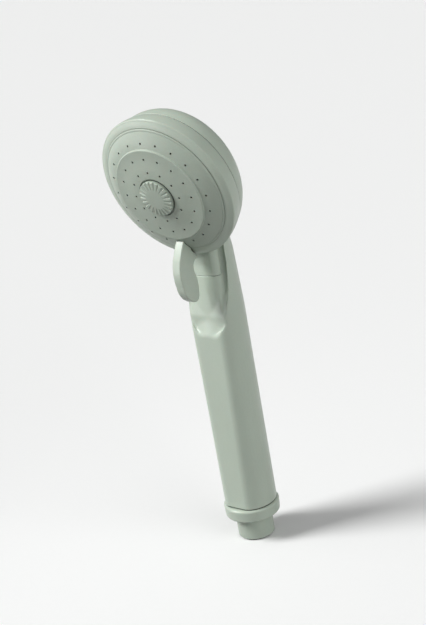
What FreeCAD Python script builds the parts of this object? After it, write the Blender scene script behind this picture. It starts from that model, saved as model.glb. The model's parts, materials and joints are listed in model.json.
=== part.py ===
import FreeCAD, Part
import math
import os

# Handheld shower head, in millimetres.
# Row frame: the origin is the centre of the inlet's end face, +Z runs up the handle,
# the spray face looks towards -Y and the plane x = 0 is the plane of symmetry.
# Pieces of the head are made in the head's own frame: its Z is the face's normal,
# its Y runs up the face, away from the handle, and its origin is the face's centre.

Vector = FreeCAD.Vector
X_AXIS = Vector(1, 0, 0)
Z_AXIS = Vector(0, 0, 1)

# Driving dimensions of the head
HEAD_RADIUS = 40.8
HEAD_TILT = 16.0
FACE_CENTRE = Vector(0, -29.1, 211.0)
DOME_BACK = -32.0
DOME_TILT = 5.0
SEAM_DEPTH = -15.3
SEAM_GAP = 0.45
PLATE_RADIUS = 36.3
PLATE_EDGE = -4.95
PLATE_RIM = 0.6
PLATE_GAP = 0.35
PLATE_LIFT = 0.2
WALL = 2.2

# Spray holes: (ring radius, number of places, places used)
HOLE_RADIUS = 0.6
HOLE_RINGS = ((14.5, 12, 12), (21.7, 16, 16), (29.75, 20, 19))

# Driving dimensions of the handle
GRIP_BOTTOM = 22.0
GRIP_RADIUS = 14.9
SHOULDER_Z = 140.0
SHOULDER_RADIUS = 15.25
RIDGE_RADIUS = 6.0
FACET_FOOT = 13.2
FACET_TOP = 11.5
NECK_START = 165.0
NECK_RADIUS = 14.4
RECESS_BOTTOM = 126.3
CORE_FRONT = 8.8
FLUSH_FRONT = -9.0
FLUSH_TOP = 137.0
STRIP_FRONT = -3.2
STRIP_TOP = 167.0
VALLEY_X = 11.7
VALLEY_RADIUS = 2.6
TONGUE_END = 160.0
TONGUE_GAP = 0.2
TONGUE_THICKNESS = 1.4

# Inlet: G 1/2 pipe thread
THREAD_MAJOR = 10.478
THREAD_PITCH = 1.814
THREAD_DEPTH = 1.16
THREAD_LENGTH = 14.0
INLET_BORE = 6.5

# Water tube inside the handle
TUBE_Y = 3.4
TUBE_OUTER = 5.2
TUBE_INNER = 4.0
TUBE_FOOT = 34.5
TUBE_TOP = 174.0

# Stack behind the spray face, as heights along the face's normal
CHAMBER_FLOOR = -8.0
PORT_FACE = -10.4
MANIFOLD_FACE = -10.7
MANIFOLD_REAR = -13.4
SCREW_RADIUS = 2.0
SCREW_CIRCLE = 31.0
SCREW_ANGLES = (30, 150, 210, 330)
RUNNING_GAP = 0.05
SELECTOR_STEP = 35.0
PORT_LOW = -31.5
PORT_HIGH = -10.5
SPRING_PLACES = ((3.9, -28.0), (-3.9, -28.0), (3.9, -14.0), (-3.9, -14.0))
DETENT_CIRCLE = 24.0
DETENT_RADIUS = 1.5

# Water chambers of the spray plate: (inner radius, outer radius, inner top, outer top)
CHAMBERS = ((6.2, 17.0, -1.2, -1.2), (18.6, 24.8, -2.1, -2.4), (26.4, 33.2, -3.5, -6.0))
HUB_RADIUS = 6.2
HUB_FLOOR = -5.0
BUTTON_RECESS_RADIUS = 11.0
BUTTON_RECESS_FLOOR = 0.3
LEVER_SCREW_CIRCLE = 31.6
LEVER_THICKNESS = 5.4

HEAD = FreeCAD.Placement(FACE_CENTRE, FreeCAD.Rotation(X_AXIS, 90 + HEAD_TILT))


def outline(start, *steps):
    """A closed wire: a step of one point is a line to it, a step of two an arc through both."""
    edges = []
    here = start
    for step in steps + ((start,),):
        if len(step) == 2:
            edges.append(Part.Arc(here, step[0], step[1]).toShape())
        elif here.distanceToPoint(step[0]) > 1e-6:
            edges.append(Part.LineSegment(here, step[0]).toShape())
        here = step[-1]
    return Part.Wire(edges)


def at(radius, height):
    """A point of a turned profile."""
    return Vector(radius, 0, height)


def turned(start, *steps):
    """A solid turned about Z from a profile."""
    return Part.Face(outline(start, *steps)).revolve(Vector(), Z_AXIS, 360)


def disc(radius, bottom, top, x=0.0, y=0.0):
    return Part.makeCylinder(radius, top - bottom, Vector(x, y, bottom))


def ring(outer, inner, bottom, top, x=0.0, y=0.0):
    return disc(outer, bottom, top, x, y).cut(disc(inner, bottom - 1, top + 1, x, y))


def block(x_low, x_high, y_low, y_high, z_low, z_high):
    corner = Vector(x_low, y_low, z_low)
    return Part.makeBox(x_high - x_low, y_high - y_low, z_high - z_low, corner)


def slot(half_width, y_low, y_high, bottom, top):
    """A block with round ends, along Y."""
    body = block(-half_width, half_width, y_low + half_width, y_high - half_width, bottom, top)
    low_end = disc(half_width, bottom, top, 0, y_low + half_width)
    high_end = disc(half_width, bottom, top, 0, y_high - half_width)
    return body.fuse([low_end, high_end]).removeSplitter()


def on_circle(radius, degrees):
    angle = math.radians(degrees)
    return radius * math.cos(angle), radius * math.sin(angle)


def spun(shape, degrees):
    """A copy turned about Z."""
    copy = shape.copy()
    copy.rotate(Vector(), Z_AXIS, degrees)
    return copy


def in_head(shape):
    """A copy moved from the head's frame to the row frame."""
    copy = shape.copy()
    copy.Placement = HEAD.multiply(copy.Placement)
    return copy


def coil(radius, wire, turns, bottom, top, x=0.0, y=0.0):
    """A coil spring along Z."""
    pitch = (top - bottom - 2 * wire) / turns
    path = Part.makeHelix(pitch, pitch * turns, radius)
    start = Part.Wire(Part.Circle(Vector(radius, 0, 0), Vector(0, 1, 0), wire).toShape())
    spring = Part.Wire(path).makePipeShell([start], True, True)
    spring.translate(Vector(x, y, bottom + wire))
    return spring


def save(name, shape, head_frame=False):
    placed = in_head(shape) if head_frame else shape
    placed = placed.removeSplitter()
    placed.exportStep("parts/" + name + ".step")
    ok = placed.isValid() and all(solid.isClosed() for solid in placed.Solids)
    print(name, len(placed.Solids), round(placed.Volume, 1), "valid" if ok else "INVALID")


# --- Handle, neck and domed back -------------------------------------------------------


def halfway(centre, radius, first, second):
    """The point of an arc halfway between two directions from its centre."""
    return centre + (first + second).normalize() * radius


def grip_section(z, radius, front, ridge, back=None):
    """Handle section: a circle with a flat facet in front and a rounded ridge at each end of it."""
    facet = math.sqrt((radius - ridge) ** 2 - (front - ridge) ** 2)
    hub = Vector(facet, ridge - front, 0)
    outward = Vector(hub.x, hub.y, 0).normalize()
    right = (
        Vector(facet, -front, 0),
        halfway(hub, ridge, Vector(0, -1, 0), outward),
        hub + outward * ridge,
        halfway(Vector(), radius, outward, X_AXIS),
        Vector(radius, 0, 0),
    )
    left = [Vector(-point.x, point.y, 0) for point in right]
    wire = outline(
        left[0],
        (right[0],),
        (right[1], right[2]),
        (right[3], right[4]),
        (Vector(0, back or radius, 0), left[4]),
        (left[3], left[2]),
        (left[1], left[0]),
    )
    wire.translate(Vector(0, 0, z))
    return wire


def along(z, foot_value, top_value, top=RECESS_BOTTOM):
    """A value that changes evenly from the handle's foot to a given height."""
    return foot_value + (top_value - foot_value) * (z - GRIP_BOTTOM) / (top - GRIP_BOTTOM)


def grip(inset, bottom):
    """The handle's straight tube, and above it the root that leans into the dome."""
    ridge = RIDGE_RADIUS - 0.5 * inset
    stations = (
        (bottom, along(bottom, GRIP_RADIUS, SHOULDER_RADIUS, SHOULDER_Z)),
        (SHOULDER_Z, SHOULDER_RADIUS),
        (NECK_START, NECK_RADIUS),
    )
    straight = []
    for z, radius in stations:
        front = along(z, FACET_FOOT, FACET_TOP) - inset
        straight.append(grip_section(z, radius - inset, front, ridge))
    root = []
    front = along(NECK_START, FACET_FOOT, FACET_TOP) - inset
    for z, radius, back in (
        (NECK_START, NECK_RADIUS, NECK_RADIUS),
        (173, 14.1, 14.1),
        (181, 13.7, 12.4),
        (189, 13.3, 9.2),
        (198, 13.0, 5.2),
        (210, 12.8, 1.0),
    ):
        depth = max(back - inset, 0.3)
        root.append(grip_section(z, radius - inset, front, ridge, depth))
    tube = Part.makeLoft(straight, True, True)
    return tube.fuse(Part.makeLoft(root, True, False))


def dome(inset):
    """The back of the head: a shallow bowl that leans a little, so the head is thickest at its top."""
    rim = SEAM_DEPTH - SEAM_GAP
    crown_radius = 190.0
    crown_edge = 22.0
    crown_rise = crown_radius - math.sqrt(crown_radius**2 - crown_edge**2)
    middle_rise = crown_radius - math.sqrt(crown_radius**2 - (0.5 * crown_edge) ** 2)
    back = DOME_BACK + inset
    bowl = turned(
        at(0, rim + 4),
        (at(39.0 - inset, rim + 4),),
        (at(39.0 - inset, rim),),
        (at(38.0 - inset, -20.4), at(35.6 - inset, -24.6 + 0.5 * inset)),
        (at(30.8 - 0.6 * inset, -28.6 + 0.9 * inset), at(crown_edge, back + crown_rise)),
        (at(0.5 * crown_edge, back + middle_rise), at(0, back)),
    )
    bowl.rotate(Vector(0, 0, rim), X_AXIS, -DOME_TILT)
    return bowl.cut(disc(60, rim, 20))


def core_section(z, half_width, front, corner=4.0, crown=0.7):
    """Neck core section: a crowned front with rounded corners, buried at the back."""
    edge = front - crown
    lean = corner * (1 - math.sqrt(0.5))
    right = Vector(half_width - corner, -edge, 0)
    rounded = Vector(half_width - lean, lean - edge, 0)
    side = Vector(half_width, corner - edge, 0)
    rear = Vector(half_width, 4, 0)
    left = [Vector(-point.x, point.y, 0) for point in (right, rounded, side, rear)]
    wire = outline(
        left[0],
        (Vector(0, -front, 0), right),
        (rounded, side),
        (rear,),
        (left[3],),
        (left[2],),
        (left[1], left[0]),
    )
    wire.translate(Vector(0, 0, z))
    return wire


def neck_core(inset, bottom, top):
    """The neck's core, with the thumb ramp that curves out to the handle's facet."""
    ramp_radius = 30
    ramp_top = 138.0
    lean_top = 166.0
    wide = 12.2
    narrow = 10.2
    sections = []
    stations = {bottom, 127.5, 129, 131, 133.5, 136, ramp_top, 150, TONGUE_END, lean_top, top}
    for z in sorted(station for station in stations if bottom <= station <= top):
        rise = max(ramp_top - z, 0)
        lean = 0.055 * (min(z, lean_top) - ramp_top)
        front = CORE_FRONT + ramp_radius - math.sqrt(ramp_radius**2 - rise**2) - lean
        narrowing = (wide - narrow) * min(max(z - ramp_top, 0) / 22, 1)
        corner = 6.0 if z <= 150 else 4.5
        sections.append(core_section(z, wide - narrowing - inset, front - inset, corner))
    return Part.makeLoft(sections, True, True)


def capsule(start, end, radius):
    """A rod with round ends."""
    axis = end - start
    rod = Part.makeCylinder(radius, axis.Length, start, axis)
    return rod.fuse([Part.makeSphere(radius, start), Part.makeSphere(radius, end)])


def recess_cutter():
    """Everything in front of the neck, above a U-shaped edge on the handle's facet."""
    low = RECESS_BOTTOM
    tall = 240
    edge = outline(
        Vector(-20, -25, tall),
        (Vector(-20, -25, low + 18),),
        (Vector(-13.3, -25, low + 11.5),),
        (Vector(0, -25, low), Vector(13.3, -25, low + 11.5)),
        (Vector(20, -25, low + 18),),
        (Vector(20, -25, tall),),
    )
    front = Part.Face(edge).extrude(Vector(0, 25, 0))
    side = outline(
        Vector(-21, -26, low - 5),
        (Vector(-21, FLUSH_FRONT, low - 5),),
        (Vector(-21, FLUSH_FRONT, FLUSH_TOP),),
        (Vector(-21, STRIP_FRONT, STRIP_TOP),),
        (Vector(-21, STRIP_FRONT, tall),),
        (Vector(-21, -26, tall),),
    )
    cutter = front.common(Part.Face(side).extrude(Vector(42, 0, 0)))
    for x in (-VALLEY_X, VALLEY_X):
        foot = Vector(x, FLUSH_FRONT - VALLEY_RADIUS, FLUSH_TOP + 1)
        knee = Vector(x, -5.7, 152)
        head = Vector(x, STRIP_FRONT - 0.3, STRIP_TOP)
        top = Vector(x, STRIP_FRONT - 0.3, 196)
        for start, end in ((foot, knee), (knee, head), (head, top)):
            cutter = cutter.fuse(capsule(start, end, VALLEY_RADIUS))
    return cutter


def handle_shell():
    lip_top = SEAM_DEPTH + 2.2
    tube = grip(0, GRIP_BOTTOM)
    outer = tube.cut(recess_cutter())
    outer = outer.fuse(neck_core(0, 126, TONGUE_END).common(tube))
    strip = block(-20, 20, -30, STRIP_FRONT, TONGUE_END, 200)
    outer = outer.cut(neck_core(-0.05, TONGUE_END, 186).common(strip))
    outer = outer.fuse(neck_core(TONGUE_THICKNESS + 0.1, TONGUE_END, 186))
    front_half = in_head(disc(60, SEAM_DEPTH - SEAM_GAP, 40))
    outer = outer.cut(front_half.common(in_head(disc(HEAD_RADIUS + 0.1, -20, 40))))
    outer = outer.fuse(in_head(dome(0)))
    lip = in_head(ring(37.5, 36.4, SEAM_DEPTH - SEAM_GAP - 2, lip_top))
    hollow = grip(WALL, GRIP_BOTTOM + 26).cut(block(-30, 30, -30, 2, RECESS_BOTTOM - 6, 240))
    lower = grip(WALL, GRIP_BOTTOM + 26).common(block(-30, 30, -30, 30, 0, RECESS_BOTTOM - 5.5))
    hollow = hollow.fuse(lower)
    hollow = hollow.fuse(block(-8.2, 8.2, -4.3, 3, RECESS_BOTTOM - 6, 192))
    hollow = hollow.fuse(disc(12.3, GRIP_BOTTOM - 1, GRIP_BOTTOM + 27))
    hollow = hollow.fuse(in_head(dome(WALL)))
    shell = outer.cut(hollow)
    bosses = []
    for degrees in SCREW_ANGLES:
        x, y = on_circle(SCREW_CIRCLE, degrees)
        bosses.append(in_head(disc(3.2, -25, MANIFOLD_REAR, x, y)).common(in_head(dome(1.0))))
    shell = shell.fuse(bosses).fuse(lip)
    for degrees in SCREW_ANGLES:
        x, y = on_circle(SCREW_CIRCLE, degrees)
        shell = shell.cut(in_head(disc(1.25, -21, 0, x, y)))
    return shell


def front_cover():
    """Fixed ring round the spray plate, the rim wall, and the tongue down the neck."""
    lip = PLATE_EDGE - PLATE_RIM - PLATE_LIFT
    rim = turned(
        at(PLATE_RADIUS - 1.0, -7.6),
        (at(PLATE_RADIUS - 1.0, lip),),
        (at(PLATE_RADIUS + 0.4, lip),),
        (at(HEAD_RADIUS - 2.4, -6.2), at(HEAD_RADIUS - 0.9, -6.95)),
        (at(HEAD_RADIUS - 0.2, -7.3), at(HEAD_RADIUS, -8.0)),
        (at(HEAD_RADIUS - 0.5, -11.5), at(39.2, SEAM_DEPTH)),
        (at(37.7, SEAM_DEPTH),),
        (at(38.6, -8.8),),
        (at(37.0, -7.6),),
    )
    outer = neck_core(0, TONGUE_END + TONGUE_GAP, 186)
    inner = neck_core(TONGUE_THICKNESS, TONGUE_END, 190)
    tongue = outer.cut(inner)
    tongue = tongue.common(block(-20, 20, -30, STRIP_FRONT - 0.05, 100, 200))
    tongue = tongue.cut(in_head(disc(38.6, -40, 10)))
    tongue = tongue.common(in_head(disc(100, SEAM_DEPTH, 20)))
    return in_head(rim).fuse(tongue)


# --- Inlet, at the foot of the handle --------------------------------------------------


def helical_groove(radius, pitch, depth, bottom, top):
    """A V-shaped groove that runs out past both ends of a thread."""
    lead = pitch * 0.7
    path = Part.makeHelix(pitch, top - bottom + 2 * lead, radius)
    half = 0.5 * pitch - 0.18
    reach = 0.25
    spread = half * (1 + reach / depth)
    tooth = Part.makePolygon(
        (
            Vector(radius + reach, 0, -spread),
            Vector(radius - depth, 0, 0),
            Vector(radius + reach, 0, spread),
            Vector(radius + reach, 0, -spread),
        )
    )
    groove = Part.Wire(path).makePipeShell([tooth], True, True)
    groove.translate(Vector(0, 0, bottom - lead))
    return groove


def inlet_nipple():
    plug_bottom = GRIP_BOTTOM + 0.2
    plug_top = GRIP_BOTTOM + 24
    body = turned(
        at(0, 0),
        (at(THREAD_MAJOR - 0.9, 0),),
        (at(THREAD_MAJOR, 0.9),),
        (at(THREAD_MAJOR, THREAD_LENGTH - 2.2),),
        (at(THREAD_MAJOR - 1.4, THREAD_LENGTH - 1.6),),
        (at(THREAD_MAJOR - 1.4, THREAD_LENGTH - 0.4),),
        (at(THREAD_MAJOR - 0.1, THREAD_LENGTH),),
        (at(THREAD_MAJOR - 0.1, plug_bottom),),
        (at(12.25, plug_bottom),),
        (at(12.25, 38.0),),
        (at(11.0, 38.0),),
        (at(11.0, 40.4),),
        (at(12.25, 40.4),),
        (at(12.25, plug_top - 0.8),),
        (at(11.6, plug_top),),
        (at(0, plug_top),),
    )
    groove = helical_groove(THREAD_MAJOR, THREAD_PITCH, THREAD_DEPTH, 0, THREAD_LENGTH - 2.4)
    body = body.cut(groove)
    body = body.cut([disc(8.1, -1, 6.0), disc(INLET_BORE, -1, 30.0)])
    body = body.cut(disc(TUBE_INNER, 29, TUBE_FOOT + 1, 0, TUBE_Y))
    body = body.cut(disc(TUBE_OUTER + RUNNING_GAP, TUBE_FOOT - 0.1, plug_top + 1, 0, TUBE_Y))
    return body.cut(disc(6.5, 41.0, 43.2, 0, TUBE_Y))


def end_collar():
    """The ring between the handle's foot and the hose nut."""
    low = THREAD_LENGTH + 0.2
    return turned(
        at(THREAD_MAJOR, low),
        (at(14.6, low),),
        (at(15.4, low + 0.3), at(15.7, low + 1.1)),
        (at(15.9, low + 5.6),),
        (at(15.6, low + 6.8), at(14.6, GRIP_BOTTOM - 0.45)),
        (at(THREAD_MAJOR, GRIP_BOTTOM - 0.45),),
    )


def o_ring(centre_radius, thickness, height, x=0.0, y=0.0):
    return Part.makeTorus(centre_radius, thickness, Vector(x, y, height))


def inlet_strainer():
    """A moulded rim with a perforated dish."""
    dish = ring(8.0, 6.6, 0.9, 2.9).fuse(disc(7.0, 1.6, 2.2))
    holes = [disc(0.45, 0, 4)]
    for radius, count in ((1.5, 6), (3.0, 12), (4.5, 18), (6.0, 24)):
        for place in range(count):
            x, y = on_circle(radius, 360 * place / count)
            holes.append(disc(0.45, 0, 4, x, y))
    return dish.cut(holes)


def flow_restrictor():
    """A disc with metering holes and a raised centre."""
    body = disc(8.0, 3.2, 5.9).cut(disc(6.4, 3.0, 4.0))
    body = body.fuse(disc(2.2, 3.4, 4.6))
    holes = []
    for place in range(6):
        x, y = on_circle(4.4, 60 * place)
        holes.append(disc(0.9, 2, 7, x, y))
    return body.cut(holes)


def waterway_tube():
    return ring(TUBE_OUTER, TUBE_INNER, TUBE_FOOT, TUBE_TOP, 0, TUBE_Y)


# --- Distributor behind the face -------------------------------------------------------


def manifold():
    """The fixed disc with the water channel, its outlet port and the tube's socket."""
    body = disc(35.4, MANIFOLD_REAR, MANIFOLD_FACE)
    body = body.fuse(block(-7.4, 7.4, -33.0, -8.0, -20.6, MANIFOLD_REAR))
    body = body.fuse(disc(6.0, -20.0, MANIFOLD_REAR))
    body = body.fuse(disc(3.2, -20.0, MANIFOLD_REAR, DETENT_CIRCLE, 0))
    for degrees in (60, 120, 180):
        rib = block(0, 30.0, -0.8, 0.8, -17.0, MANIFOLD_REAR)
        body = body.fuse(spun(rib, degrees))
    placed = in_head(body)
    placed = placed.fuse(disc(6.6, 167.5, TUBE_TOP + 5, 0, TUBE_Y))
    elbow_end = HEAD.multVec(Vector(0, -22, -16.4))
    elbow_start = Vector(0, TUBE_Y, TUBE_TOP)
    elbow = Part.makeCylinder(3.7, (elbow_end - elbow_start).Length, elbow_start, elbow_end - elbow_start)
    jacket = Part.makeCylinder(6.0, (elbow_end - elbow_start).Length, elbow_start, elbow_end - elbow_start)
    jacket = jacket.cut(in_head(disc(60, -19.0, 20)))
    placed = placed.fuse(jacket).cut(elbow)
    placed = placed.cut(disc(TUBE_OUTER + RUNNING_GAP, 167, TUBE_TOP + 0.1, 0, TUBE_Y))
    placed = placed.cut(disc(6.1, 169.9, 171.4, 0, TUBE_Y))
    cuts = [slot(5.1, PORT_LOW, PORT_HIGH, -12.9, 0)]
    cuts.append(slot(2.3, PORT_LOW + 2.8, PORT_HIGH - 2.8, -19.0, 0))
    cuts.append(disc(SCREW_RADIUS, -18.0, 0))
    cuts.append(disc(DETENT_RADIUS + RUNNING_GAP, -19.0, 0, DETENT_CIRCLE, 0))
    for x, y in SPRING_PLACES:
        cuts.append(disc(1.3, -18.0, 0, x, y))
    for degrees in SCREW_ANGLES:
        x, y = on_circle(SCREW_CIRCLE, degrees)
        cuts.append(disc(1.35, -40, 0, x, y))
        cuts.append(disc(2.7, -12.2, 0, x, y))
    return placed.cut([in_head(cut) for cut in cuts])


def screw(head_radius, head_bottom, head_top, shank_radius, shank_end, x=0.0, y=0.0):
    """A pan-head screw along Z with a cross recess; the shank runs from the head to its end."""
    head = disc(head_radius, head_bottom, head_top, x, y)
    shank = disc(shank_radius, min(shank_end, head_bottom), max(shank_end, head_top), x, y)
    shank = shank.common(disc(head_radius, min(shank_end, head_bottom), head_top, x, y))
    if shank_end > head_top:
        shank = disc(shank_radius, head_bottom, shank_end, x, y)
    depth = 0.6 * (head_top - head_bottom)
    arm = 0.65 * head_radius
    half = 0.16 * head_radius
    floor = head_top - depth if shank_end < head_bottom else head_bottom - 1
    ceiling = head_top + 1 if shank_end < head_bottom else head_bottom + depth
    cross = block(x - arm, x + arm, y - half, y + half, floor, ceiling)
    cross = cross.fuse(block(x - half, x + half, y - arm, y + arm, floor, ceiling))
    return head.fuse(shank).cut(cross)


def manifold_screws():
    screws = []
    for degrees in SCREW_ANGLES:
        x, y = on_circle(SCREW_CIRCLE, degrees)
        screws.append(screw(2.5, -12.2, -10.9, 1.25, -20.5, x, y))
    return Part.makeCompound(screws)


def port_seal():
    """The rubber lip ring that rides on the rotating chamber plate."""
    outer = slot(5.0, PORT_LOW + 0.1, PORT_HIGH - 0.1, -12.7, MANIFOLD_FACE + 0.2)
    return outer.cut(slot(2.3, PORT_LOW + 2.8, PORT_HIGH - 2.8, -14, 0))


def port_seal_springs():
    return Part.makeCompound([coil(0.85, 0.2, 5, -17.95, -12.75, x, y) for x, y in SPRING_PLACES])


def detent_ball():
    return Part.makeSphere(DETENT_RADIUS, Vector(DETENT_CIRCLE, 0, PORT_FACE - 0.05 - DETENT_RADIUS))


def detent_spring():
    top = PORT_FACE - 0.1 - 2 * DETENT_RADIUS
    return coil(1.1, 0.22, 5, -18.95, top, DETENT_CIRCLE, 0)


# --- The selector: everything that turns with the lever --------------------------------


def plate_envelope(bottom):
    """The stepped dome of the spray face, solid down to a height."""
    skirt = PLATE_RADIUS - 1.0 - PLATE_GAP
    return turned(
        at(0, bottom),
        (at(skirt, bottom),),
        (at(skirt, PLATE_EDGE - PLATE_RIM),),
        (at(PLATE_RADIUS, PLATE_EDGE - PLATE_RIM),),
        (at(PLATE_RADIUS, PLATE_EDGE - 0.5),),
        (at(PLATE_RADIUS - 0.35, PLATE_EDGE - 0.15), at(PLATE_RADIUS - 1.1, PLATE_EDGE)),
        (at(32.4, -3.2), at(27.2, -1.35)),
        (at(27.0, -1.2), at(26.95, -1.0)),
        (at(26.75, -0.55), at(26.3, -0.4)),
        (at(21.7, 0.0), at(17.0, 0.65)),
        (at(14.5, 0.95), at(BUTTON_RECESS_RADIUS, 1.15)),
        (at(0, 1.15),),
    )


def spray_plate():
    body = plate_envelope(CHAMBER_FLOOR)
    body = body.cut(disc(BUTTON_RECESS_RADIUS, BUTTON_RECESS_FLOOR, 5))
    for inner, outer, inner_top, outer_top in CHAMBERS:
        pocket = turned(
            at(inner, CHAMBER_FLOOR - 1),
            (at(outer, CHAMBER_FLOOR - 1),),
            (at(outer, outer_top),),
            (at(inner, inner_top),),
        )
        body = body.cut(pocket)
    y = -LEVER_SCREW_CIRCLE
    boss = disc(3.0, CHAMBER_FLOOR, -5.0, 0, y)
    body = body.fuse(boss).cut([disc(1.3, -10, 5, 0, y), disc(2.4, -10, -6.6, 0, y)])
    body = body.cut([disc(SCREW_RADIUS + RUNNING_GAP, -10, 5), disc(4.2, HUB_FLOOR, 5)])
    holes = []
    for radius, places, used in HOLE_RINGS:
        for place in range(1, used + 1):
            x, y = on_circle(radius, 360 * place / places - 90)
            holes.append(disc(HOLE_RADIUS, -7.5, 5, x, y))
    return body.cut(holes)


def chamber_plate():
    """Closes the chambers; its windows pick the one that faces the port."""
    body = disc(PLATE_RADIUS - 1.0 - PLATE_GAP, PORT_FACE, CHAMBER_FLOOR)
    body = body.cut(disc(SCREW_RADIUS + RUNNING_GAP, -12, 0))
    body = body.cut(ring(34.6, 33.3, CHAMBER_FLOOR - 1.3, 0))
    windows = ((-SELECTOR_STEP, -16.0, -11.5), (0, -24.3, -19.3), (SELECTOR_STEP, -31.5, -26.8))
    for degrees, low, high in windows:
        body = body.cut(spun(slot(2.2, low, high, -12, 0), degrees))
        notch = Part.makeSphere(DETENT_RADIUS + 0.1, Vector(DETENT_CIRCLE, 0, PORT_FACE - DETENT_RADIUS + 0.75))
        body = body.cut(spun(notch, degrees))
    return body


def centre_rosette():
    """A low button with radial flutes round a smooth middle."""
    radius = 10.1
    low = BUTTON_RECESS_FLOOR
    body = turned(
        at(0, low),
        (at(radius - 0.2, low),),
        (at(radius, low + 1.9),),
        (at(radius - 0.25, low + 2.45), at(radius - 0.9, low + 2.6)),
        (at(radius - 4.5, low + 2.95), at(3.2, low + 3.05)),
        (at(0, low + 3.05),),
    )
    flutes = []
    count = 22
    for place in range(count):
        flute = Part.makeCone(0.3, 1.05, 5.6, Vector(5.6, 0, low + 3.15), Vector(1, 0, -0.07))
        flutes.append(spun(flute, 360 * (place + 0.5) / count))
    body = body.cut(flutes)
    return body.fuse(disc(4.15, low - 1.9, low))


def lever_outline():
    """Side view of the lever: its front, round tip and hooked back, as (out along the face, up)."""
    points = (
        (28.8, -4.5),
        (28.8, -1.6),
        (32.0, 2.0),
        (36.2, 6.2),
        (42.7, 9.8),
        (50.0, 11.25),
        (57.3, 10.6),
        (61.6, 7.6),
        (62.2, 4.2),
        (60.0, 2.2),
        (55.0, 0.0),
        (49.0, -0.9),
        (44.6, -1.7),
        (42.6, -3.9),
        (42.4, -6.9),
        (36.6, -4.6),
        (34.0, -5.4),
    )
    corner = [Vector(0, -r, h) for r, h in points]
    return outline(
        corner[0],
        (corner[1],),
        (corner[2], corner[3]),
        (corner[4], corner[5]),
        (corner[6], corner[7]),
        (corner[8], corner[9]),
        (corner[10], corner[11]),
        (corner[12], corner[13]),
        (corner[14],),
        (corner[15],),
        (corner[16],),
    )


def selector_lever():
    face = Part.Face(lever_outline())
    face.translate(Vector(-LEVER_THICKNESS / 2, 0, 0))
    body = face.extrude(Vector(LEVER_THICKNESS, 0, 0))
    body = body.cut(plate_envelope(-20))
    return body.cut(disc(1.2, -10, -0.2, 0, -LEVER_SCREW_CIRCLE))


def lever_screw():
    return screw(2.3, -7.9, -6.6, 1.2, -0.4, 0, -LEVER_SCREW_CIRCLE)


def jet_ring():
    """The fixed ring of slanted jets that drives the turbine."""
    body = ring(16.9, HUB_RADIUS + RUNNING_GAP, CHAMBER_FLOOR, -5.6)
    jets = []
    for place in range(6):
        jet = Part.makeCylinder(0.9, 8, Vector(13.5, -2.6, CHAMBER_FLOOR - 1.0), Vector(0, 1, 0.8))
        jets.append(spun(jet, 60 * place))
    return body.cut(jets)


def turbine_rotor():
    """A bladed wheel with a half disc that covers half of the inner ring of holes."""
    hub = ring(8.0, HUB_RADIUS + 0.08, -5.2, -1.7)
    shutter = ring(16.3, HUB_RADIUS + 0.08, -2.5, -1.7).common(block(-20, 20, 0, 20, -3, 0))
    rim = ring(16.3, 15.3, -2.5, -1.7)
    body = hub.fuse([shutter, rim])
    for place in range(10):
        blade = block(7.2, 15.8, -0.4, 0.4, -5.2, -1.9)
        body = body.fuse(spun(blade, 36 * place))
    return body


def centre_screw():
    return screw(3.7, -4.2, -2.6, SCREW_RADIUS, -17.5)


def thrust_washer():
    return ring(4.05, SCREW_RADIUS + RUNNING_GAP, HUB_FLOOR + 0.08, -4.25)


os.makedirs("parts", exist_ok=True)

save("handle_shell", handle_shell())
save("front_cover", front_cover())
save("inlet_nipple", inlet_nipple())
save("end_collar", end_collar())
save("nipple_oring", o_ring(11.63, 0.6, 39.2))
save("tube_foot_oring", o_ring(5.78, 0.55, 42.1, 0, TUBE_Y))
save("tube_head_oring", o_ring(5.64, 0.42, 170.65, 0, TUBE_Y))
save("inlet_strainer", inlet_strainer())
save("flow_restrictor", flow_restrictor())
save("waterway_tube", waterway_tube())
save("manifold", manifold())
save("manifold_screws", manifold_screws(), True)
save("port_seal", port_seal(), True)
save("port_seal_springs", port_seal_springs(), True)
save("detent_ball", detent_ball(), True)
save("detent_spring", detent_spring(), True)
save("centre_screw", centre_screw(), True)
save("thrust_washer", thrust_washer(), True)
save("spray_plate", spray_plate(), True)
save("chamber_plate", chamber_plate(), True)
save("plate_oring", o_ring(33.95, 0.62, CHAMBER_FLOOR - 0.66), True)
save("centre_rosette", centre_rosette(), True)
save("selector_lever", selector_lever(), True)
save("lever_screw", lever_screw(), True)
save("jet_ring", jet_ring(), True)
save("turbine_rotor", turbine_rotor(), True)
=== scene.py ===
import json
import math

import bpy
import numpy as np
from mathutils import Matrix, Vector


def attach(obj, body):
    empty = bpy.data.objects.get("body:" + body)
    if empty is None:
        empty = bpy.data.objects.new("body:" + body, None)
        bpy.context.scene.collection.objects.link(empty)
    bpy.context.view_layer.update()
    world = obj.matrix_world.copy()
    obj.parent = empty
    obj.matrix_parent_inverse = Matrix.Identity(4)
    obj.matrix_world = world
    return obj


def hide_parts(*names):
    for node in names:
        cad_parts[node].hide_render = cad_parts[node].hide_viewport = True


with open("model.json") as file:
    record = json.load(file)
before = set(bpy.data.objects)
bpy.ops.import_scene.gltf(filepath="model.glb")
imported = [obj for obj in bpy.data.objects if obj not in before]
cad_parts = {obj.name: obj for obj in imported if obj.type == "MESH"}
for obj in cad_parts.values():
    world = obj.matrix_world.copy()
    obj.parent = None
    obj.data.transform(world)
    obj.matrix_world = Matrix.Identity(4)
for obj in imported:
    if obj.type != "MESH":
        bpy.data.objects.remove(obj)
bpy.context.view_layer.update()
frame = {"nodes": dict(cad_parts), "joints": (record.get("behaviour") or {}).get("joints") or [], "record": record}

# Handheld shower head. Everything is in metres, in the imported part's own frame:
# +Z runs up the handle, the spray face looks towards -Y, and x = 0 is the plane of symmetry.

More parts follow.
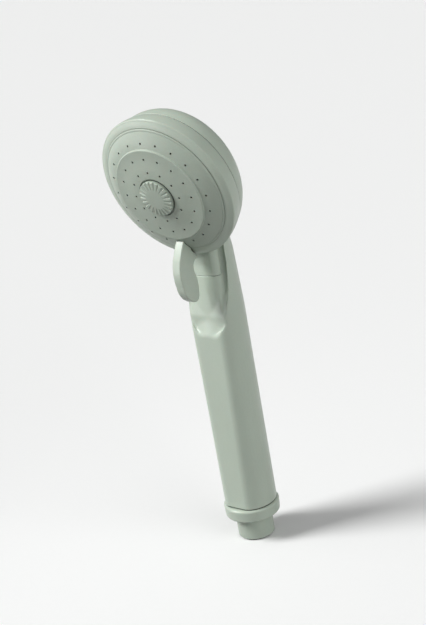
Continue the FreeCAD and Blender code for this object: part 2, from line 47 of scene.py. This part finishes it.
MM = 0.001
scene = bpy.context.scene
turn_joint = next(joint for joint in frame["joints"] if joint["name"] == "selector_turn")
FACE_NORMAL = Vector(turn_joint["axis"]).normalized()
FACE_CENTRE = Vector(turn_joint["pos_m"])

# --- Materials: every one is built from nodes ------------------------------------------


class Nodes:
    """Short calls for building one material's node tree in object coordinates."""

    def __init__(self, name):
        self.material = bpy.data.materials.new(name)
        self.material.use_nodes = True
        self.tree = self.material.node_tree
        self.shader = self.tree.nodes["Principled BSDF"]
        self.place = self.tree.nodes.new("ShaderNodeTexCoord").outputs["Object"]

    def link(self, source, target):
        self.tree.links.new(source, target)

    def add(self, kind, **values):
        node = self.tree.nodes.new(kind)
        for name, value in values.items():
            node.inputs[name.replace("_", " ")].default_value = value
        return node

    def stretched(self, scale):
        mapping = self.add("ShaderNodeMapping")
        mapping.inputs["Scale"].default_value = scale
        self.link(self.place, mapping.inputs["Vector"])
        return mapping.outputs["Vector"]

    def noise(self, size, detail=2.0, rough=0.5, vector=None):
        """Noise whose blotches are about the given size across, in metres."""
        node = self.add("ShaderNodeTexNoise", Scale=1 / size, Detail=detail, Roughness=rough)
        self.link(vector or self.place, node.inputs["Vector"])
        return node.outputs["Fac"]

    def ramp(self, value, low, high):
        """A value between 0 and 1 spread between two others."""
        node = self.add("ShaderNodeMapRange", From_Min=0.3, From_Max=0.7, To_Min=low, To_Max=high)
        self.link(value, node.inputs["Value"])
        return node.outputs["Result"]

    def blend(self, factor, first, second):
        """A colour between two colours, or two colour outputs."""
        node = self.tree.nodes.new("ShaderNodeMix")
        node.data_type = "RGBA"
        self.link(factor, node.inputs["Factor"])
        for socket, value in ((node.inputs[6], first), (node.inputs[7], second)):
            if isinstance(value, tuple):
                socket.default_value = (*value, 1)
            else:
                self.link(value, socket)
        return node.outputs[2]

    def painted_shade_factor(self, depth):
        """Factor for painted shade, from ambient occlusion: 0 in the open, towards 1 in holes and gaps narrower
        than the given depth.
        """
        shade = self.add("ShaderNodeAmbientOcclusion", Distance=depth)
        shade.samples = 8
        node = self.add("ShaderNodeMapRange", From_Min=0.62, From_Max=0.15, To_Min=0.0, To_Max=1.0)
        self.link(shade.outputs["AO"], node.inputs["Value"])
        return node.outputs["Result"]

    def bump(self, height, depth, below=None):
        """Relief of a real depth in metres, over an earlier bump if there is one."""
        node = self.add("ShaderNodeBump", Strength=1.0, Distance=depth)
        self.link(height, node.inputs["Height"])
        if below is not None:
            self.link(below, node.inputs["Normal"])
        return node.outputs["Normal"]

    def finish(self, color, rough, normal):
        self.link(color, self.shader.inputs["Base Color"])
        self.link(rough, self.shader.inputs["Roughness"])
        self.link(normal, self.shader.inputs["Normal"])
        return self.material


def tinted(color, gain):
    return tuple(min(1.0, channel * gain) for channel in color)


def moulded_plastic(name, color, rough, grain=0.35 * MM, mottle=0.05, sheen=0.5):
    """Satin injection-moulded plastic: faint flow mottling, fine speckle, spark-eroded grain, and painted shade in
    holes and gaps.
    """
    nodes = Nodes(name)
    flow = nodes.noise(14 * MM, detail=3.0, vector=nodes.stretched((1, 1, 0.45)))
    speckle = nodes.noise(0.7 * MM, detail=1.0)
    flowed = nodes.blend(flow, tinted(color, 1 - mottle), tinted(color, 1 + mottle))
    dusted = nodes.blend(nodes.ramp(speckle, 0.0, 0.22), flowed, tinted(color, 0.86))
    # Painted shade: the colour darkens towards 0.12 of itself in holes, gaps and under overhangs that ambient
    # occlusion finds.
    painted_shade_color = nodes.blend(nodes.painted_shade_factor(1.6 * MM), dusted, tinted(color, 0.12))
    handled = nodes.ramp(nodes.noise(9 * MM, detail=4.0), rough - 0.05, rough + 0.06)
    waves = nodes.bump(nodes.noise(11 * MM, detail=1.0), 0.05 * MM)
    skin = nodes.bump(nodes.noise(grain, detail=2.0), 0.006 * MM, waves)
    nodes.shader.inputs["Specular IOR Level"].default_value = sheen
    nodes.shader.inputs["Subsurface Weight"].default_value = 0.06
    nodes.shader.inputs["Subsurface Scale"].default_value = 1.2 * MM
    return nodes.finish(painted_shade_color, handled, skin)


def rubber(name):
    """Black seal rubber with a chalky bloom."""
    nodes = Nodes(name)
    bloom = nodes.noise(2.5 * MM, detail=4.0)
    color = nodes.blend(bloom, (0.018, 0.018, 0.018), (0.045, 0.046, 0.045))
    skin = nodes.bump(nodes.noise(0.2 * MM), 0.008 * MM)
    return nodes.finish(color, nodes.ramp(bloom, 0.5, 0.72), skin)


def steel(name):
    """Turned stainless steel with fine tool marks across its axis."""
    nodes = Nodes(name)
    marks = nodes.noise(0.5 * MM, detail=3.0, vector=nodes.stretched((0.15, 1, 3)))
    color = nodes.blend(marks, (0.50, 0.50, 0.49), (0.66, 0.66, 0.65))
    nodes.shader.inputs["Metallic"].default_value = 1.0
    return nodes.finish(color, nodes.ramp(marks, 0.22, 0.38), nodes.bump(marks, 0.004 * MM))


def floor_paper(name):
    nodes = Nodes(name)
    fibres = nodes.noise(3 * MM, detail=3.0)
    color = nodes.blend(fibres, (0.93, 0.935, 0.93), (0.95, 0.955, 0.95))
    return nodes.finish(color, nodes.ramp(fibres, 0.75, 0.9), nodes.bump(fibres, 0.02 * MM))


BODY_COLOR = (0.52, 0.60, 0.505)
materials = {
    "body_plastic": moulded_plastic("body_plastic", BODY_COLOR, 0.36),
    # The spray face's colour is the body colour darkened to 0.88: painted shade for the face, which tilts downward
    # out of the light.
    "face_plastic": moulded_plastic(
        "face_plastic", tinted(BODY_COLOR, 0.88), 0.42, mottle=0.06, sheen=0.42
    ),
    "lever_plastic": moulded_plastic("lever_plastic", BODY_COLOR, 0.34, mottle=0.04),
    "thread_plastic": moulded_plastic("thread_plastic", tinted(BODY_COLOR, 0.92), 0.40),
    "inner_plastic": moulded_plastic("inner_plastic", (0.72, 0.72, 0.69), 0.45),
    "turbine_plastic": moulded_plastic("turbine_plastic", (0.62, 0.64, 0.67), 0.40),
    "rubber": rubber("rubber"),
    "steel": steel("steel"),
}

node_slot = {part["node"]: part["material_slot"] for part in frame["record"]["subparts"]}


def wear(obj, slot):
    """Gives an object one material, whatever it had."""
    obj.data.materials.clear()
    obj.data.materials.append(materials[slot])


for name, node in frame["nodes"].items():
    wear(node, node_slot[name])

# --- Pieces whose moulded roundings stand in for the CAD's crisp edges ------------------

SHELL_VOXEL = 0.34 * MM
LEVER_VOXEL = 0.22 * MM
NECK_TOP = 165 * MM  # height where the neck starts to run into the head
NECK_BLEND = 30 * MM  # length over which it does
HEAD_FOOT = 171 * MM  # height of the head's lowest point
SEAM_BACK = -17 * MM  # just behind the seam, along the face's normal


def smoothstep(value, low, high):
    share = np.clip((value - low) / (high - low), 0, 1)
    return share * share * (3 - 2 * share)


def applied(obj, kind, **settings):
    """Adds a modifier and applies it at once."""
    modifier = obj.modifiers.new(kind.lower(), kind)
    for name, value in settings.items():
        setattr(modifier, name, value)
    graph = bpy.context.evaluated_depsgraph_get()
    mesh = bpy.data.meshes.new_from_object(obj.evaluated_get(graph))
    obj.modifiers.clear()
    obj.data = mesh


def surface(piece):
    """The points and normals of a mesh, as arrays."""
    count = len(piece.data.vertices)
    points = np.empty(count * 3)
    normals = np.empty(count * 3)
    piece.data.vertices.foreach_get("co", points)
    piece.data.vertex_normals.foreach_get("vector", normals)
    return points.reshape(-1, 3), normals.reshape(-1, 3)


def body_of(node):
    bodies = frame["record"]["behaviour"]["bodies"]
    return next(body for body, members in bodies.items() if node in members)


def softened(node, voxel, rounds, keep):
    """Shows a remeshed copy of a CAD node in its place.

    Each round is a number of smoothing passes and a weight function of points and normals.
    Where the keep function gives 1, the copy is pulled back onto the CAD surface.
    """
    source = frame["nodes"][node]
    piece = bpy.data.objects.new(node + "_soft", source.data.copy())
    scene.collection.objects.link(piece)
    applied(piece, "REMESH", mode="VOXEL", voxel_size=voxel, use_smooth_shade=True)
    for passes, weight in rounds:
        weights = weight(*surface(piece))
        group = piece.vertex_groups.new(name="soft")
        for level in range(1, 11):
            chosen = np.nonzero(np.round(weights * 10) == level)[0]
            group.add(chosen.tolist(), level / 10, "REPLACE")
        applied(piece, "SMOOTH", factor=0.5, iterations=passes, vertex_group="soft")
        piece.vertex_groups.clear()
    crisp = piece.vertex_groups.new(name="crisp")
    crisp.add(np.nonzero(keep(*surface(piece)) > 0.5)[0].tolist(), 1, "REPLACE")
    applied(
        piece,
        "SHRINKWRAP",
        target=source,
        wrap_method="NEAREST_SURFACEPOINT",
        vertex_group="crisp",
    )
    piece.vertex_groups.clear()
    piece.data.shade_smooth()
    slot = node_slot[node]
    wear(piece, slot)
    body = body_of(node)
    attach(piece, body)
    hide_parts(node)


def everywhere(points, normals):
    return np.ones(len(points))


def nowhere(points, normals):
    return np.zeros(len(points))


def face_depth(points):
    """Distance in front of the spray face's centre, along the face's normal."""
    return (points - np.array(FACE_CENTRE)) @ np.array(FACE_NORMAL)


def seam(points, normals):
    """True on the front edge of the head's back, where it meets the cover."""
    return (face_depth(points) > SEAM_BACK) & (points[:, 2] > HEAD_FOOT)


def outside(points, normals):
    """1 on the outer skin of the handle and the head's back, 0 on the inner walls."""
    spine_top = np.array([0, 0, NECK_TOP])
    head_middle = np.array(FACE_CENTRE + FACE_NORMAL * SEAM_BACK)
    height = np.clip((points[:, 2] - NECK_TOP) / NECK_BLEND, 0, 1)[:, None]
    spine = spine_top * (1 - height) + head_middle * height
    spine[:, 2] = np.where(points[:, 2] < spine_top[2], points[:, 2], spine[:, 2])
    return (np.einsum("ij,ij->i", points - spine, normals) > 0).astype(float)


def recess_edge(points, normals):
    """The scoop in the neck and the valleys beside its core, up to the cover's tongue."""
    low = smoothstep(points[:, 2], 118 * MM, 124 * MM)
    high = 1 - smoothstep(points[:, 2], 158 * MM, 159.5 * MM)
    front = 1 - smoothstep(points[:, 1], 1 * MM, 5 * MM)
    return low * high * front * outside(points, normals)


def scoop_lip(points, normals):
    """The U-shaped lower end of the scoop."""
    low = smoothstep(points[:, 2], 119 * MM, 123 * MM)
    high = 1 - smoothstep(points[:, 2], 134 * MM, 142 * MM)
    front = 1 - smoothstep(points[:, 1], -7 * MM, -3 * MM)
    return low * high * front * outside(points, normals)


def neck_root(points, normals):
    """The junction of the neck and the domed back of the head."""
    low = smoothstep(points[:, 2], 160 * MM, 178 * MM)
    high = 1 - smoothstep(points[:, 2], 206 * MM, 222 * MM)
    back = 1 - smoothstep(face_depth(points), -19.5 * MM, -17.5 * MM)
    return low * high * back * outside(points, normals)


shell_rounds = ((1, everywhere), (26, recess_edge), (50, scoop_lip), (220, neck_root))
softened("handle_shell", SHELL_VOXEL, shell_rounds, seam)
softened("selector_lever", LEVER_VOXEL, ((30, everywhere),), nowhere)

# --- Floor, camera and light -----------------------------------------------------------

FLOOR_SIZE = 12
bpy.ops.mesh.primitive_plane_add(size=FLOOR_SIZE, location=(0, 0, 0))
floor = bpy.context.object
floor.name = "floor"
floor.data.materials.append(floor_paper("floor_paper"))
floor.visible_diffuse = False

CAMERA_TARGET = Vector((-3.45, 0, 135.8)) * MM
CAMERA_DISTANCE = 709.2 * MM
CAMERA_AZIMUTH = math.radians(41.62)
CAMERA_ELEVATION = math.radians(19.24)
CAMERA_ROLL = math.radians(-10.24)
CAMERA_LENS = 74.88
CAMERA_SENSOR = 36

back = Vector((
    math.sin(CAMERA_AZIMUTH) * math.cos(CAMERA_ELEVATION),
    -math.cos(CAMERA_AZIMUTH) * math.cos(CAMERA_ELEVATION),
    math.sin(CAMERA_ELEVATION),
))
side = Vector((0, 0, 1)).cross(back).normalized()
up = back.cross(side)
right = side * math.cos(CAMERA_ROLL) + up * math.sin(CAMERA_ROLL)
top = up * math.cos(CAMERA_ROLL) - side * math.sin(CAMERA_ROLL)
camera_data = bpy.data.cameras.new("camera")
camera_data.lens = CAMERA_LENS
camera_data.sensor_width = CAMERA_SENSOR
camera = bpy.data.objects.new("camera", camera_data)
scene.collection.objects.link(camera)
axes = Matrix((right, top, back)).transposed().to_4x4()
camera.matrix_world = Matrix.Translation(CAMERA_TARGET + back * CAMERA_DISTANCE) @ axes
scene.camera = camera


def sun(name, towards, strength, spread):
    """A soft distant light; towards points from the object to the light."""
    data = bpy.data.lights.new(name, "SUN")
    data.energy = strength
    data.angle = math.radians(spread)
    lamp = bpy.data.objects.new(name, data)
    scene.collection.objects.link(lamp)
    lamp.rotation_euler = Vector(towards).to_track_quat("Z", "Y").to_euler()


def softbox(name, place, aim, power, width):
    """A square area light."""
    data = bpy.data.lights.new(name, "AREA")
    data.energy = power
    data.size = width
    lamp = bpy.data.objects.new(name, data)
    scene.collection.objects.link(lamp)
    lamp.location = place
    lamp.rotation_euler = (place - aim).to_track_quat("Z", "Y").to_euler()
    return lamp


sun("key", (-0.55, -0.50, 0.67), 2.75, 22)
sun("fill", (0.93, -0.1, 0.35), 1.05, 50)
softbox("kicker", FACE_CENTRE + Vector((-170, -60, 70)) * MM, FACE_CENTRE, 0.08, 120 * MM)
scoop = Vector((0, -10, 142)) * MM
gleam = softbox("gleam", scoop + Vector((-376, -465, 62)) * MM, scoop, 1.1, 300 * MM)
gleam.visible_diffuse = False
world = bpy.data.worlds.new("world")
scene.world = world
world.use_nodes = True
world.node_tree.nodes["Background"].inputs["Color"].default_value = (1.0, 1.0, 1.0, 1)
world.node_tree.nodes["Background"].inputs["Strength"].default_value = 0.24
scene.view_settings.view_transform = "Standard"
